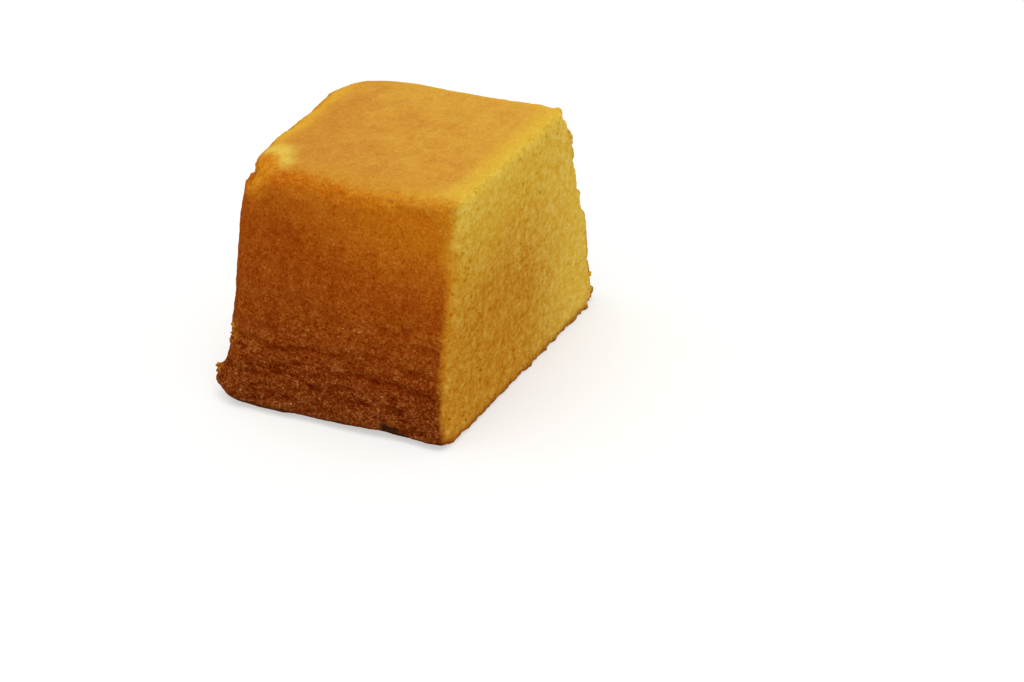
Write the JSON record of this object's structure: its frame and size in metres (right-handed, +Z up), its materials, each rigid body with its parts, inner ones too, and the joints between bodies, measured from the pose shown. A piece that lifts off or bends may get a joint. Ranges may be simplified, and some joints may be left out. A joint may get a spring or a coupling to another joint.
{
  "type": "farmers cake",
  "caption": "End piece of a plain yellow loaf cake with a browned crust, turned upside down with one knife-cut face showing the crumb.",
  "frame": {"origin": "centre of the footprint, on the surface that the cake stands on", "axes": "+X out of the knife cut along the loaf's length, +Y across the loaf, +Z up from the crown to the face that lay on the tin's floor"},
  "size_m": [0.0814, 0.105, 0.0716],
  "materials": {
    "cake": "matte baked crust, browner towards the foot, with a yellow crumb on the cut face"
  },
  "bodies": {
    "root": {"cake": "cake"}
  },
  "joints": []
}
